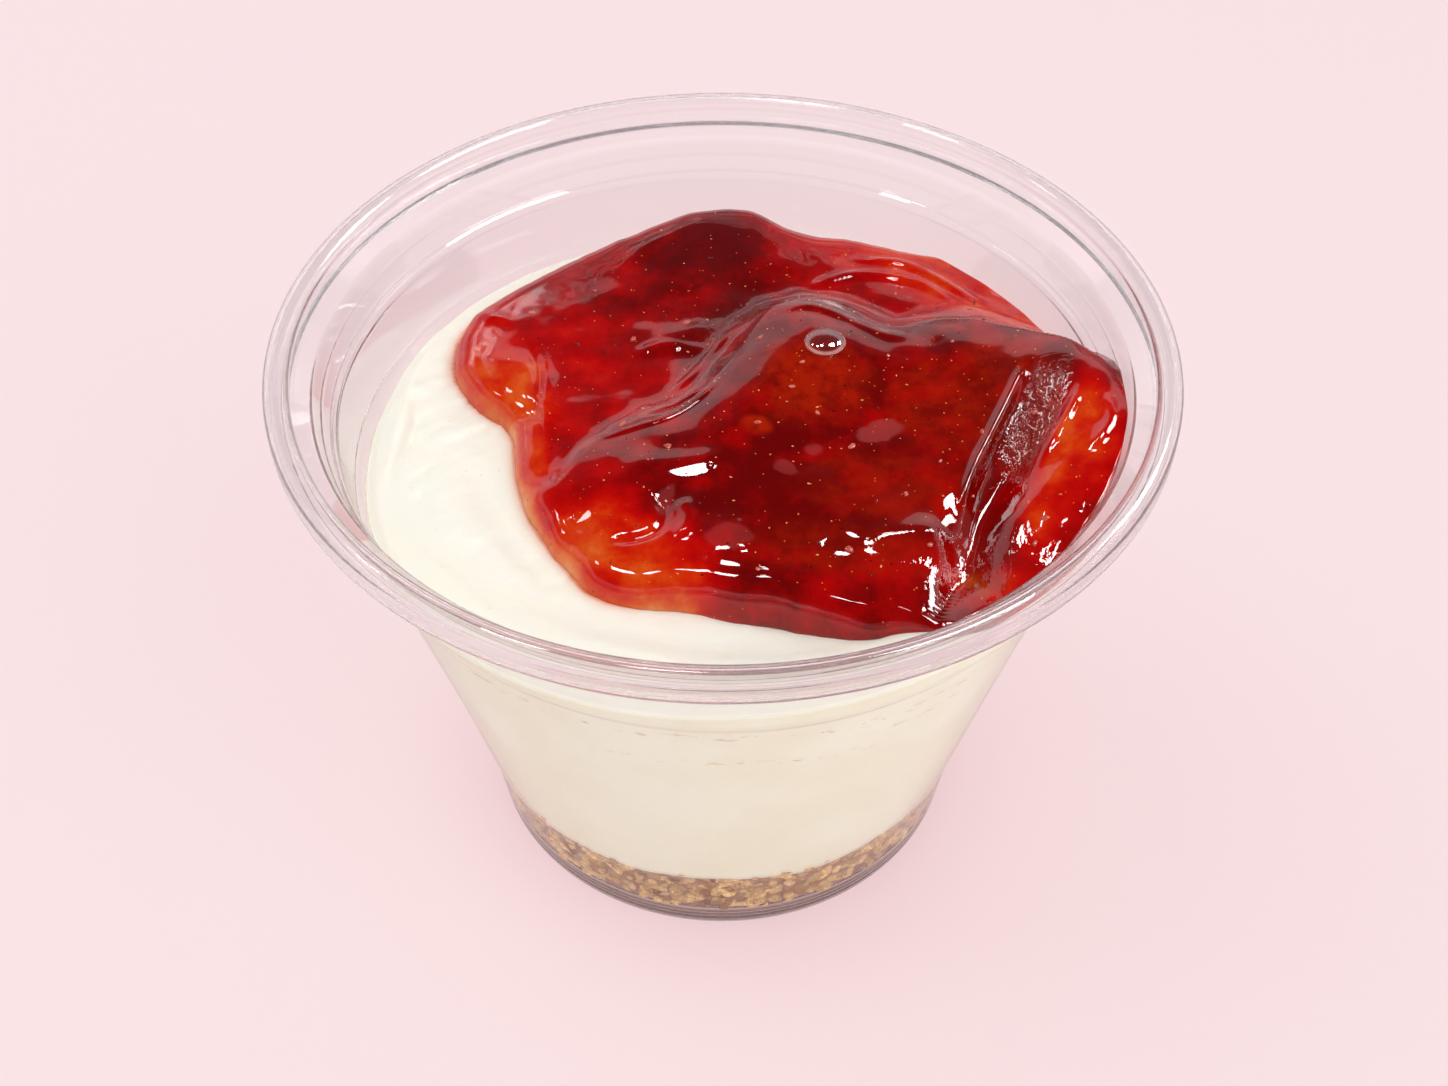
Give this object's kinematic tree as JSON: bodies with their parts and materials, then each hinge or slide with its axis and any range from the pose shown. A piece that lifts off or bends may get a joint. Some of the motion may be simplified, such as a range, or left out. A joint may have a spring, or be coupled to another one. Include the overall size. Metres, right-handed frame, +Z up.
{
  "type": "yogurt pot",
  "caption": "Clear round dessert cup with a curled rim, filled with biscuit crumb, thick yogurt and a glossy fruit compote on top.",
  "frame": {"origin": "centre of the ring that the cup stands on", "axes": "+Z up along the cup's axis, -Y towards the side that the reference view sees, +X to its right"},
  "size_m": [0.095, 0.095, 0.0656],
  "materials": {
    "clear_plastic": "gloss",
    "crumb": "matte",
    "yogurt": "satin",
    "compote": "gloss"
  },
  "bodies": {
    "root": {"cup": "clear_plastic", "crumb_base": "crumb", "yogurt": "yogurt", "compote": "compote"}
  },
  "joints": []
}
